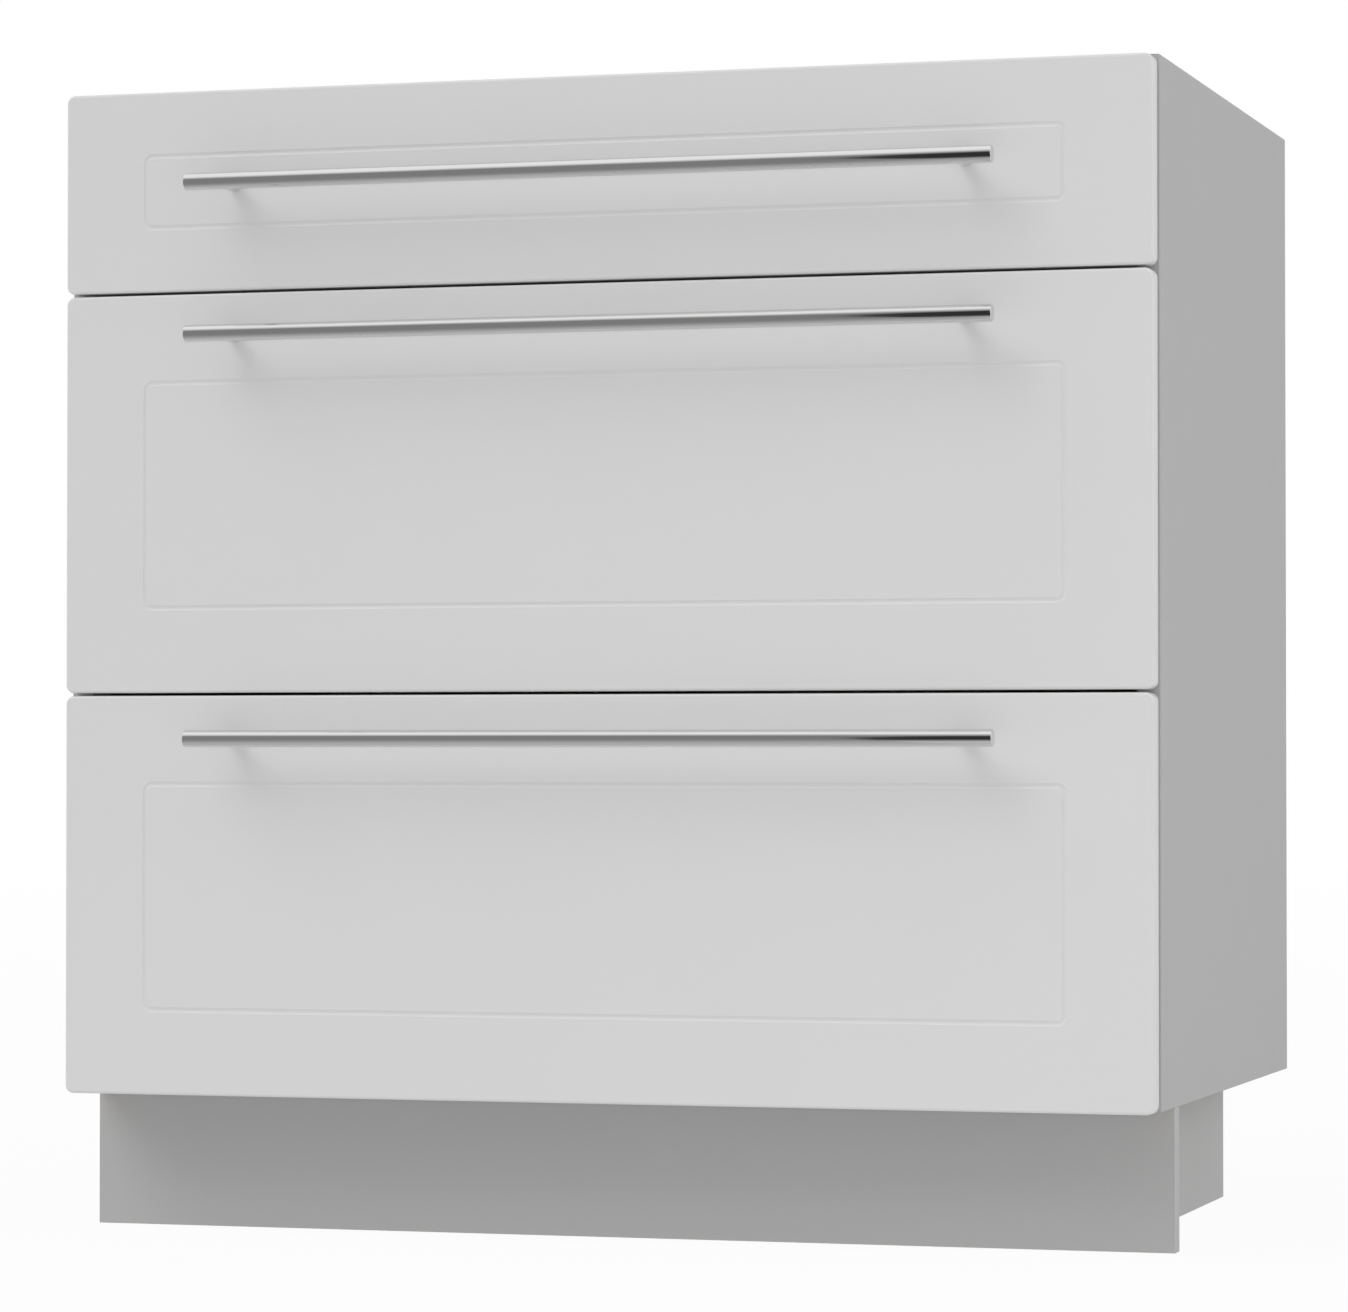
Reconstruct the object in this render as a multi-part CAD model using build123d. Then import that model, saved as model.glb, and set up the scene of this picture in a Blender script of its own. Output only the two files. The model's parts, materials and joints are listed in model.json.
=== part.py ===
from build123d import *
import os

os.makedirs("parts", exist_ok=True)

# A kitchen base cabinet with one shallow drawer over two deep ones.
# Millimetres. X runs to the right, Y to the back and Z up. The origin lies on the
# floor, under the middle of the whole unit, handles included.

# ---- carcass ----
carcass_width = 800.0
carcass_height = 720.0
carcass_depth = 500.0
board_t = 16.0                # carcass board
board_edge_r = 0.8            # softened arris of the edge banding
rail_width = 100.0            # the two boards that lie under the worktop
back_t = 3.0                  # hardboard back
back_inset = 10.0             # from the rear edge to the back panel
back_groove_depth = 8.0
worktop_hole_r = 2.25
worktop_hole_inset = 80.0     # from the carcass side's inner face

# ---- plinth ----
plinth_height = 100.0
plinth_board_t = 16.0
plinth_setback = 49.0         # plinth face behind the carcass front edge
plinth_end_reveal = 0.5       # plinth front board inside the carcass side
plinth_side_inset = 50.0      # side boards inside the carcass side
plinth_rear_inset = 20.0      # rear board in from the ends of the side boards

# ---- drawer fronts ----
front_t = 16.0
front_standoff = 0.5          # closed front to carcass edge
front_gap = 2.0               # between two fronts
front_end_reveal = 1.5        # carcass edge that shows beside a front
front_top_reveal = 1.0        # top front below the carcass top
front_drop = 1.0              # bottom front below the carcass underside
top_front_height = 144.0
front_corner_r = 6.0          # corners seen from the front
front_edge_r = 2.0            # rounding between the face and the edges
frame_inset_side = 62.0       # front's end to the middle of the routed line
frame_inset_above = 63.5      # the same from the upper edge of a deep front
frame_inset_below = 61.0      # and from its lower edge
frame_inset_shallow = 46.3    # the same above and below, on the shallow front
frame_cutter_r = 4.0          # round-nosed cutter
frame_depth = 0.5             # how far the cutter is sunk
frame_corner_r = 5.0          # turn of the routed line

# ---- handles ----
bar_d = 12.0
bar_length = 588.0
bar_end_r = 0.8
bar_standoff = 30.0           # front's face to the bar's axis
post_d = 10.0
post_spacing = 536.0
handle_drop_deep = 31.0       # front's top edge to the bar's axis, deep front
handle_drop_shallow = 69.0    # the same on the shallow front
handle_screw_d = 4.0
handle_screw_head_d = 8.0
handle_screw_head_t = 2.2
handle_screw_round = 0.7      # rounding of the head's rim
handle_screw_bite = 9.0       # depth in the post

# ---- drawer boxes ----
box_board_t = 16.0
box_lift = 25.0               # box underside above the front's lower edge
box_top_space_deep = 71.0     # front's upper edge to the top of the box, deep drawer
box_top_space_shallow = 29.0
box_bottom_t = 3.0
box_bottom_rise = 12.0        # underside of the bottom sheet above the box underside
box_groove_depth = 8.0        # in the two sides
box_front_groove_depth = 6.0  # in the back of the front
box_back_drop = 8.0           # back board below the top of the sides
box_rear_short = 3.5          # box ends this far before the runner

# ---- runners: three nested steel channels on balls ----
runner_t = 12.7               # carcass side to box side
runner_h = 45.0
runner_sheet_t = 1.2
runner_setback = 3.0          # behind the carcass front edge
runner_rear_space = 34.0      # behind the runner, up to the back panel
runner_rise = 45.0            # runner axis above the box underside
runner_bend_r = 0.8
web_gap = 1.7                 # cabinet channel's web to the intermediate's web
inner_gap = 1.0               # intermediate's web to the drawer channel's flange
outer_flange_short = 2.2      # cabinet channel's flange ends this far from the box
middle_flange_short = 1.5
ball_d = 3.2
ball_play = 0.25
cage_length = 200.0
cage_start = 117.0            # behind the runner's front end
cage_width = 5.0
cage_t = 0.8
balls_per_cage = 6

# ---- screws of the runners ----
runner_screw_d = 3.5
runner_screw_head_d = 7.5
runner_screw_head_t = 1.2
runner_screw_bite = 11.0      # depth in the board
runner_screw_front = 37.0     # first screw behind the carcass front edge
runner_screw_rear = 37.0      # last screw before the runner's rear end

# ---- cross recess in every screw head ----
recess_length = 4.2
recess_w = 0.9
recess_left = 0.4             # head left under the recess

# ---- cam fittings: a bolt in one board, a disc in the next ----
cam_disc_d = 15.0
cam_disc_below = 4.4          # disc beyond the bolt's axis, which runs mid-board
cam_reach = 24.0              # joint to disc centre
cam_bolt_d = 6.0
cam_bolt_thread_d = 5.0
cam_bolt_thread = 10.0        # depth in the first board
cam_bolt_head_d = 7.0
cam_bolt_head_t = 2.0
cam_slot_w = 2.0
cam_slot_length = 9.0
cam_slot_depth = 2.5
cam_from_front = 60.0         # carcass and drawer side joints, in from the ends
cam_from_rear = 70.0
cam_low = 40.0                # above the box bottom sheet
cam_high = 40.0               # below the top of the box
plinth_cam_spread = 250.0     # either side of the middle
plinth_cam_front = 150.0      # side boards' joints, behind the carcass front edge
plinth_cam_rear = 100.0

# ---- clearances ----
hole_play = 0.15              # round a shank or a disc, on the radius
groove_play = 0.1             # each side of a sheet in its groove
saddle_play = 0.05            # post to bar

# ---- places that follow ----
bar_reach = bar_standoff + bar_d / 2
unit_depth = bar_reach + front_t + front_standoff + carcass_depth
y_rear = unit_depth / 2
y_carcass = y_rear - carcass_depth
y_front_back = y_carcass - front_standoff
y_face = y_front_back - front_t
y_bar = y_face - bar_standoff
y_back_panel = y_rear - back_inset - back_t
z_carcass = plinth_height
z_top = plinth_height + carcass_height
x_out = carcass_width / 2
x_in = x_out - board_t
x_box = x_in - runner_t
front_width = carcass_width - 2 * front_end_reveal
fronts_height = carcass_height + front_drop - front_top_reveal
deep_front_height = (fronts_height - top_front_height - 2 * front_gap) / 2
runner_start = y_carcass + runner_setback
runner_end = y_back_panel - runner_rear_space
box_end = runner_end - box_rear_short
y_box_back = box_end - box_board_t
x_box_in = x_box - box_board_t
y_plinth = y_carcass + plinth_setback
y_plinth_back = y_plinth + plinth_board_t
y_plinth_rear = y_rear - plinth_rear_inset - plinth_board_t
x_plinth_side = x_out - plinth_side_inset
screw_ys = (y_carcass + runner_screw_front,
            (y_carcass + runner_screw_front + runner_end - runner_screw_rear) / 2,
            runner_end - runner_screw_rear)

# Lower edge and height of each front.
z_bottom_front = z_carcass - front_drop
z_middle_front = z_bottom_front + deep_front_height + front_gap
z_top_front = z_middle_front + deep_front_height + front_gap
levels = {
    "top": dict(z=z_top_front, height=top_front_height,
                above=frame_inset_shallow, below=frame_inset_shallow,
                drop=handle_drop_shallow, space=box_top_space_shallow, cams=1),
    "middle": dict(z=z_middle_front, height=deep_front_height,
                   above=frame_inset_above, below=frame_inset_below,
                   drop=handle_drop_deep, space=box_top_space_deep, cams=2),
    "bottom": dict(z=z_bottom_front, height=deep_front_height,
                   above=frame_inset_above, below=frame_inset_below,
                   drop=handle_drop_deep, space=box_top_space_deep, cams=2),
}
for level in levels.values():
    level["z_bar"] = level["z"] + level["height"] - level["drop"]
    level["z_box"] = level["z"] + box_lift
    level["box_height"] = level["height"] - box_lift - level["space"]
    level["z_box_top"] = level["z_box"] + level["box_height"]
    level["z_sheet"] = level["z_box"] + box_bottom_rise
    level["z_runner"] = level["z_box"] + runner_rise

# Half heights of the nested channels and their balls.
outer_half = runner_h / 2
outer_ball_z = outer_half - runner_sheet_t - ball_play - ball_d / 2
middle_half = outer_ball_z - ball_d / 2 - ball_play
inner_ball_z = middle_half - runner_sheet_t - ball_play - ball_d / 2
inner_half = inner_ball_z - ball_d / 2 - ball_play

# The same across the runner, measured from the carcass side.
outer_tip = runner_t - outer_flange_short
middle_web = runner_sheet_t + web_gap
middle_tip = runner_t - middle_flange_short
inner_tip = middle_web + runner_sheet_t + inner_gap
outer_ball_x = (middle_web + outer_tip) / 2
inner_ball_x = (inner_tip + middle_tip) / 2


def block(x, y, z):
    """A box between two values on each axis."""
    size = Box(x[1] - x[0], y[1] - y[0], z[1] - z[0])
    return Pos((x[0] + x[1]) / 2, (y[0] + y[1]) / 2, (z[0] + z[1]) / 2) * size


def rod(start, direction, radius, length):
    """A round bar that starts at a point and runs in a direction."""
    bar = Cylinder(radius, length, align=(Align.CENTER, Align.CENTER, Align.MIN))
    return Plane(origin=start, z_dir=direction) * bar


def mirrored(shape):
    return mirror(shape, about=Plane.YZ)


def moved(point, direction, distance):
    """The point that lies a distance along a direction."""
    return tuple(p + d * distance for p, d in zip(point, direction))


# ---- cam fittings ----

def fitting(first, second, thickness, joint, into, face):
    """A bolt in the first board that runs into a disc in the second, whose thickness is given."""
    return dict(first=first, second=second, mid=thickness / 2, joint=joint, into=into, face=face)


def other_hand(f):
    """The same fitting on the left of the cabinet."""
    names = {key: f[key].replace("right", "left") for key in ("first", "second")}
    vectors = {key: (-f[key][0], f[key][1], f[key][2]) for key in ("joint", "into", "face")}
    return dict(f, **names, **vectors)


def reverse(direction):
    return tuple(-d for d in direction)


def cam_bolt(f):
    """Threaded in the first board, its head lies in the disc."""
    thread = rod(f["joint"], reverse(f["into"]), cam_bolt_thread_d / 2, cam_bolt_thread)
    shaft = rod(f["joint"], f["into"], cam_bolt_d / 2, cam_reach)
    head_start = moved(f["joint"], f["into"], cam_reach - cam_bolt_head_t)
    head = rod(head_start, f["into"], cam_bolt_head_d / 2, cam_bolt_head_t)
    return thread + shaft + head


def cam_disc(f):
    """A disc with a hollow for the bolt and a cross slot for the screwdriver."""
    centre = moved(f["joint"], f["into"], cam_reach)
    top = moved(centre, f["face"], f["mid"])
    disc = rod(top, reverse(f["face"]), cam_disc_d / 2, f["mid"] + cam_disc_below)
    mouth = moved(centre, f["into"], -cam_disc_d)
    hollow = rod(mouth, f["into"], cam_bolt_head_d / 2 + hole_play, cam_disc_d + cam_bolt_head_t)
    arm = Box(cam_slot_length, cam_slot_w, 2 * cam_slot_depth)
    slot = arm + Rot(0, 0, 90) * arm
    return disc - hollow - Plane(origin=top, z_dir=f["face"]) * slot


def cut_in_first(f):
    """The hole for the bolt's thread."""
    radius = cam_bolt_thread_d / 2 + hole_play
    return rod(f["joint"], reverse(f["into"]), radius, cam_bolt_thread + hole_play)


def cut_in_second(f):
    """The hole along the board and the round pocket in its face."""
    centre = moved(f["joint"], f["into"], cam_reach)
    along = rod(f["joint"], f["into"], cam_bolt_head_d / 2 + hole_play, cam_reach)
    top = moved(centre, f["face"], f["mid"])
    depth = f["mid"] + cam_disc_below + hole_play
    pocket = rod(top, reverse(f["face"]), cam_disc_d / 2 + hole_play, depth)
    return along + pocket


def fitted(name, board, fittings):
    """The board with every hole that its fittings need."""
    tools = [cut_in_first(f) for f in fittings if f["first"] == name]
    tools += [cut_in_second(f) for f in fittings if f["second"] == name]
    return board - tools


def fitting_solids(fittings):
    return [make(f) for f in fittings for make in (cam_bolt, cam_disc)]


# ---- carcass ----

def carcass_fittings():
    """Every fitting of the carcass and the plinth frame."""
    right = []
    z_low = z_carcass + board_t / 2
    z_high = z_top - board_t / 2
    inward = (-1, 0, 0)
    down = (0, 0, -1)
    for y in (y_carcass + cam_from_front, y_back_panel - cam_from_rear):
        right.append(fitting("side_panel_right", "bottom_panel", board_t, (x_in, y, z_low), inward, down))
    rails = {"top_rail_front": y_carcass + rail_width / 2, "top_rail_rear": y_back_panel - rail_width / 2}
    for rail, y in rails.items():
        right.append(fitting("side_panel_right", rail, board_t, (x_in, y, z_high), inward, down))
    x_side = x_plinth_side - plinth_board_t / 2
    for y in (y_carcass + plinth_cam_front, y_rear - plinth_cam_rear):
        joint = (x_side, y, z_carcass)
        right.append(fitting("bottom_panel", "plinth_side_board_right", plinth_board_t, joint, down, inward))
    cross_boards = {"plinth_front_board": (y_plinth, 1), "plinth_rear_board": (y_plinth_rear, -1)}
    for name, (y, disc_side) in cross_boards.items():
        joint = (plinth_cam_spread, y + plinth_board_t / 2, z_carcass)
        right.append(fitting("bottom_panel", name, plinth_board_t, joint, down, (0, disc_side, 0)))
    return right + [other_hand(f) for f in right]


def pilot_holes(x, z, into):
    """A row of holes for a runner's screws, in the board that starts at x."""
    radius = runner_screw_d / 2 + hole_play
    return [rod((x, y, z), (into, 0, 0), radius, runner_screw_bite + hole_play) for y in screw_ys]


def side_panel(fittings):
    """The right-hand side: a groove for the back, and pilot holes for the runners."""
    panel = block((x_in, x_out), (y_carcass, y_rear), (z_carcass, z_top))
    panel = fillet(panel.faces().sort_by(Axis.X)[-1].edges(), radius=board_edge_r)
    groove_x = (x_in, x_in + back_groove_depth + groove_play)
    groove_y = (y_back_panel - groove_play, y_back_panel + back_t + groove_play)
    panel -= block(groove_x, groove_y, (z_carcass, z_top))
    for level in levels.values():
        panel -= pilot_holes(x_in, level["z_runner"], 1)
    return fitted("side_panel_right", panel, fittings)


def bottom_panel(fittings):
    panel = block((-x_in, x_in), (y_carcass, y_back_panel), (z_carcass, z_carcass + board_t))
    return fitted("bottom_panel", panel, fittings)


def top_rail(name, y_start, fittings):
    """A flat board under the worktop, with two holes for the worktop's screws."""
    rail = block((-x_in, x_in), (y_start, y_start + rail_width), (z_top - board_t, z_top))
    x = x_in - worktop_hole_inset
    y = y_start + rail_width / 2
    for side in (-1, 1):
        rail -= rod((side * x, y, z_top), (0, 0, -1), worktop_hole_r, board_t)
    return fitted(name, rail, fittings)


def back_panel():
    x = x_in + back_groove_depth
    return block((-x, x), (y_back_panel, y_back_panel + back_t), (z_carcass, z_top))


def plinth_front_board(fittings):
    x = x_out - plinth_end_reveal
    board = block((-x, x), (y_plinth, y_plinth_back), (0, plinth_height))
    board = fillet(board.faces().sort_by(Axis.Y)[0].edges(), radius=board_edge_r)
    return fitted("plinth_front_board", board, fittings)


def plinth_side_board(fittings):
    """The right-hand one, with its outer rear arris softened."""
    x = (x_plinth_side - plinth_board_t, x_plinth_side)
    board = block(x, (y_plinth_back, y_rear), (0, plinth_height))
    outer_face = board.faces().sort_by(Axis.X)[-1]
    rear_arris = outer_face.edges().sort_by(Axis.Y)[-1]
    board = fillet(rear_arris, radius=board_edge_r)
    return fitted("plinth_side_board_right", board, fittings)


def plinth_rear_board(fittings):
    x = x_plinth_side - plinth_board_t
    board = block((-x, x), (y_plinth_rear, y_plinth_rear + plinth_board_t), (0, plinth_height))
    return fitted("plinth_rear_board", board, fittings)


# ---- runners, on the right of the cabinet ----

def across(first, second):
    """The X range between two distances from the carcass side."""
    return x_in - max(first, second), x_in - min(first, second)


def channel(back, tip, half, y, z):
    """A steel channel along Y, from the back of its web to the tips of its flanges."""
    opens_inward = tip > back
    face = back + runner_sheet_t if opens_inward else back - runner_sheet_t
    shape = block(across(back, tip), y, (z - half, z + half))
    rows = shape.edges().filter_by(Axis.Y).group_by(Axis.X)
    shape = fillet(rows[-1] if opens_inward else rows[0], radius=runner_bend_r)
    inner = half - runner_sheet_t
    return shape - block(across(face, tip), y, (z - inner, z + inner))


def drilled(member, web_start, radius, z):
    """The member with a hole through its web at each of the runner's screws."""
    x = x_in - web_start - runner_sheet_t
    return member - [rod((x, y, z), (1, 0, 0), radius, runner_sheet_t) for y in screw_ys]


def cabinet_member(z):
    member = channel(0, outer_tip, outer_half, (runner_start, runner_end), z)
    return drilled(member, 0, runner_screw_d / 2 + hole_play, z)


def intermediate_member(z):
    """Its holes are wide enough to reach the cabinet member's screws through them."""
    member = channel(middle_web, middle_tip, middle_half, (runner_start, runner_end), z)
    return drilled(member, middle_web, runner_screw_head_d / 2 + hole_play, z)


def drawer_member(z):
    member = channel(runner_t, inner_tip, inner_half, (runner_start, box_end), z)
    return drilled(member, runner_t - runner_sheet_t, runner_screw_d / 2 + hole_play, z)


def ball_cage(across, z):
    """A strip that carries a row of balls."""
    y_start = runner_start + cage_start
    x = x_in - across
    edge = cage_width / 2
    cage = block((x - edge, x + edge), (y_start, y_start + cage_length), (z - cage_t / 2, z + cage_t / 2))
    pitch = cage_length / balls_per_cage
    for i in range(balls_per_cage):
        cage += Pos(x, y_start + pitch * (i + 0.5), z) * Sphere(ball_d / 2)
    return cage


def cage_set(across, height, z):
    """The upper and lower cage on both sides of the cabinet."""
    right = [ball_cage(across, z + side * height) for side in (-1, 1)]
    return right + [mirrored(cage) for cage in right]


def cross_recess(seat, out, head_t):
    """The cross for the screwdriver, in a head that is head_t thick on its seat."""
    depth = head_t - recess_left
    top = moved(seat, out, head_t)
    arm = Box(recess_length, recess_w, 2 * depth)
    return Plane(origin=top, z_dir=out) * (arm + Rot(0, 0, 90) * arm)


def runner_screw(x, y, z, into):
    """A flat-headed screw: its head lies on the web and its shank goes into the board."""
    seat = (x, y, z)
    out = (-into, 0, 0)
    head = rod(seat, out, runner_screw_head_d / 2, runner_screw_head_t)
    shank = rod(seat, (into, 0, 0), runner_screw_d / 2, runner_sheet_t + runner_screw_bite)
    return head + shank - cross_recess(seat, out, runner_screw_head_t)


def cabinet_runner_screws():
    right = []
    for level in levels.values():
        right += [runner_screw(x_in - runner_sheet_t, y, level["z_runner"], 1) for y in screw_ys]
    return right + [mirrored(screw) for screw in right]


def drawer_runner_screws(level):
    right = [runner_screw(x_box + runner_sheet_t, y, level["z_runner"], -1) for y in screw_ys]
    return right + [mirrored(screw) for screw in right]


# ---- drawers ----

def drawer_fittings(level):
    """Side to front and side to back, on both sides of one drawer."""
    right = []
    heights = [level["z_sheet"] + cam_low, level["z_box_top"] - cam_high][:level["cams"]]
    x_mid = x_box - box_board_t / 2
    y_mid = y_box_back + box_board_t / 2
    inward = (-1, 0, 0)
    rearward = (0, 1, 0)
    for z in heights:
        at_front = (x_mid, y_front_back, z)
        at_back = (x_box_in, y_mid, z)
        right.append(fitting("front", "side_right", box_board_t, at_front, rearward, inward))
        right.append(fitting("side_right", "back", box_board_t, at_back, inward, rearward))
    return right + [other_hand(f) for f in right]


def sheet_groove(level, x_end, y):
    """The groove that the drawer's bottom sheet lies in."""
    z = (level["z_sheet"] - groove_play, level["z_sheet"] + box_bottom_t + groove_play)
    return block((-x_end - groove_play, x_end + groove_play), y, z)


def upright(level, y, above=0, below=0):
    """A plane that faces forward, centred on a drawer's front or on what two insets leave of it."""
    z_mid = level["z"] + (level["height"] - above + below) / 2
    return Plane(origin=(0, y, z_mid), x_dir=(1, 0, 0), z_dir=(0, -1, 0))


def routed_frame(level):
    """A round-nosed cutter's path: a rounded rectangle, sunk a little into the face."""
    width = front_width - 2 * frame_inset_side
    height = level["height"] - level["above"] - level["below"]
    plane = upright(level, y_face - frame_cutter_r + frame_depth, level["above"], level["below"])
    path = (plane * RectangleRounded(width, height, frame_corner_r)).face().outer_wire()
    nose = Plane(origin=path @ 0, z_dir=path % 0) * Circle(frame_cutter_r)
    return sweep(nose, path=path)


def drawer_front(level, fittings):
    """A lacquered board with rounded corners and edges and a thin routed frame."""
    outline = RectangleRounded(front_width, level["height"], front_corner_r)
    front = extrude(upright(level, y_face) * outline, amount=-front_t)
    front = fillet(front.faces().sort_by(Axis.Y)[0].edges(), radius=front_edge_r)
    front -= routed_frame(level)
    groove_y = (y_front_back - box_front_groove_depth - groove_play, y_front_back)
    front -= sheet_groove(level, x_box_in + box_groove_depth, groove_y)
    screw_r = handle_screw_d / 2 + hole_play
    for x in (-post_spacing / 2, post_spacing / 2):
        front -= rod((x, y_front_back, level["z_bar"]), (0, -1, 0), screw_r, front_t)
    return fitted("front", front, fittings)


def drawer_side(level, fittings):
    """The right-hand side of the box."""
    side = block((x_box_in, x_box), (y_front_back, box_end), (level["z_box"], level["z_box_top"]))
    side -= sheet_groove(level, x_box_in + box_groove_depth, (y_front_back, box_end))
    side -= pilot_holes(x_box, level["z_runner"], -1)
    return fitted("side_right", side, fittings)


def drawer_back(level, fittings):
    z = (level["z_sheet"] + box_bottom_t, level["z_box_top"] - box_back_drop)
    return fitted("back", block((-x_box_in, x_box_in), (y_box_back, box_end), z), fittings)


def drawer_bottom(level):
    x = x_box_in + box_groove_depth
    z = (level["z_sheet"], level["z_sheet"] + box_bottom_t)
    return block((-x, x), (y_front_back - box_front_groove_depth, box_end), z)


def handle_bar(level):
    bar = rod((-bar_length / 2, y_bar, level["z_bar"]), (1, 0, 0), bar_d / 2, bar_length)
    return fillet(bar.edges().filter_by(GeomType.CIRCLE), radius=bar_end_r)


def handle_post(level, x):
    """From the front's face to the bar, hollowed to fit round it, and tapped for the screw."""
    z = level["z_bar"]
    foot = (x, y_face, z)
    forward = (0, -1, 0)
    post = rod(foot, forward, post_d / 2, bar_standoff)
    post -= rod((x - post_d, y_bar, z), (1, 0, 0), bar_d / 2 + saddle_play, 2 * post_d)
    return post - rod(foot, forward, handle_screw_d / 2 + hole_play, handle_screw_bite + hole_play)


def handle_screw(level, x):
    """Through the front from behind, into the post."""
    seat = (x, y_front_back, level["z_bar"])
    out = (0, 1, 0)
    head = rod(seat, out, handle_screw_head_d / 2, handle_screw_head_t)
    head = fillet(head.faces().sort_by(Axis.Y)[-1].edges(), radius=handle_screw_round)
    shank = rod(seat, reverse(out), handle_screw_d / 2, front_t + handle_screw_bite)
    return head + shank - cross_recess(seat, out, handle_screw_head_t)


# ---- every piece, by the name of its node ----

def cabinet_pieces():
    fittings = carcass_fittings()
    side = side_panel(fittings)
    plinth_side = plinth_side_board(fittings)
    pieces = {
        "side_panel_right": side,
        "side_panel_left": mirrored(side),
        "bottom_panel": bottom_panel(fittings),
        "top_rail_front": top_rail("top_rail_front", y_carcass, fittings),
        "top_rail_rear": top_rail("top_rail_rear", y_back_panel - rail_width, fittings),
        "back_panel": back_panel(),
        "plinth_front_board": plinth_front_board(fittings),
        "plinth_side_board_right": plinth_side,
        "plinth_side_board_left": mirrored(plinth_side),
        "plinth_rear_board": plinth_rear_board(fittings),
        "carcass_cam_fittings": fitting_solids(fittings),
        "runner_screws": cabinet_runner_screws(),
    }
    for name, level in levels.items():
        member = cabinet_member(level["z_runner"])
        pieces[f"{name}_runner_cabinet_member_right"] = member
        pieces[f"{name}_runner_cabinet_member_left"] = mirrored(member)
    return pieces


def drawer_pieces(name, level):
    fittings = drawer_fittings(level)
    side = drawer_side(level, fittings)
    z = level["z_runner"]
    intermediate = intermediate_member(z)
    member = drawer_member(z)
    ends = (-post_spacing / 2, post_spacing / 2)
    pieces = {
        "drawer_front": drawer_front(level, fittings),
        "drawer_side_right": side,
        "drawer_side_left": mirrored(side),
        "drawer_back": drawer_back(level, fittings),
        "drawer_bottom": drawer_bottom(level),
        "drawer_cam_fittings": fitting_solids(fittings),
        "drawer_screws": [handle_screw(level, x) for x in ends] + drawer_runner_screws(level),
        "handle_bar": handle_bar(level),
        "handle_posts": [handle_post(level, x) for x in ends],
        "runner_drawer_member_right": member,
        "runner_drawer_member_left": mirrored(member),
        "runner_intermediate_members": [intermediate, mirrored(intermediate)],
        "runner_outer_ball_cages": cage_set(outer_ball_x, outer_ball_z, z),
        "runner_inner_ball_cages": cage_set(inner_ball_x, inner_ball_z, z),
    }
    return {f"{name}_{node}": shape for node, shape in pieces.items()}


def main():
    pieces = cabinet_pieces()
    for name, level in levels.items():
        pieces.update(drawer_pieces(name, level))
    for node, shape in pieces.items():
        if isinstance(shape, list):
            shape = Compound(children=shape)
        export_step(shape, f"parts/{node}.step")
    print(len(pieces), "nodes")


main()
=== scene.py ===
import bmesh
import bpy
import json
import math
import numpy as np
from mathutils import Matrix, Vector

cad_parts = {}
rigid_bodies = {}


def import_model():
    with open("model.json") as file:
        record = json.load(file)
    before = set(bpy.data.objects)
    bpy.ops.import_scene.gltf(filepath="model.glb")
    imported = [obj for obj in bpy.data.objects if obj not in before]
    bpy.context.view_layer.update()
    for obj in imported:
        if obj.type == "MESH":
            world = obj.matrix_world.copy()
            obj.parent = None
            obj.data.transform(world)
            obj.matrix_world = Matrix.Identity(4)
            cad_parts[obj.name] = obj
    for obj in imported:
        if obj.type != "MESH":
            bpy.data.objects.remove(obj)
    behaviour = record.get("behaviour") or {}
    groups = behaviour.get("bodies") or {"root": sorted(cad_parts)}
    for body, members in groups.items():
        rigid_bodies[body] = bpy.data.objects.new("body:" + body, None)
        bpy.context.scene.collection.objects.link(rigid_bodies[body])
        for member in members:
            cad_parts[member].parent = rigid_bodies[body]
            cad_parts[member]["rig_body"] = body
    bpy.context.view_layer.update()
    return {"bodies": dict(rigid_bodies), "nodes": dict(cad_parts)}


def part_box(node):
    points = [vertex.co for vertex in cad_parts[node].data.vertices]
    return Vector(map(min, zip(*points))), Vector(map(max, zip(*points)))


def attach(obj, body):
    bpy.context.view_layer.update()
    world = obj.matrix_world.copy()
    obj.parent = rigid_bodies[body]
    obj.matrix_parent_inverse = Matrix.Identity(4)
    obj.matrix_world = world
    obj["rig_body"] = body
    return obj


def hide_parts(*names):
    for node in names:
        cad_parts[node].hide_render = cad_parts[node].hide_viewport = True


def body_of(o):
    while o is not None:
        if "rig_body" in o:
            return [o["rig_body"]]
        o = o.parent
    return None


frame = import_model()
wanted = set(frame["nodes"].values()) | set(frame["bodies"].values())
for thing in set(bpy.data.objects) - wanted:
    bpy.data.objects.remove(thing)      # whatever the start-up file holds

mm = 0.001
levels = ("top", "middle", "bottom")
sides = ("left", "right")
weldReach = 0.002 * mm                  # joins the points of a ring that closes on its pole
sharpAngle = 32                         # degrees between faces, from which their edge stays sharp


def ringFaces(rows, columns):
    # Quad (i, j) joins ring i to ring i + 1 and point j to point j + 1, which wraps round.
    i, j = np.meshgrid(np.arange(rows - 1), np.arange(columns), indexing="ij")
    after = (j + 1) % columns
    quads = [i * columns + j, i * columns + after, (i + 1) * columns + after, (i + 1) * columns + j]
    return np.stack(quads, axis=-1).reshape(-1, 4)


def ringSurface(points, offset=0):
    # points is rings x places x 3. Gives flat arrays that several surfaces can be joined from.
    rows, columns = points.shape[:2]
    return points.reshape(-1, 3), ringFaces(rows, columns) + offset


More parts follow.
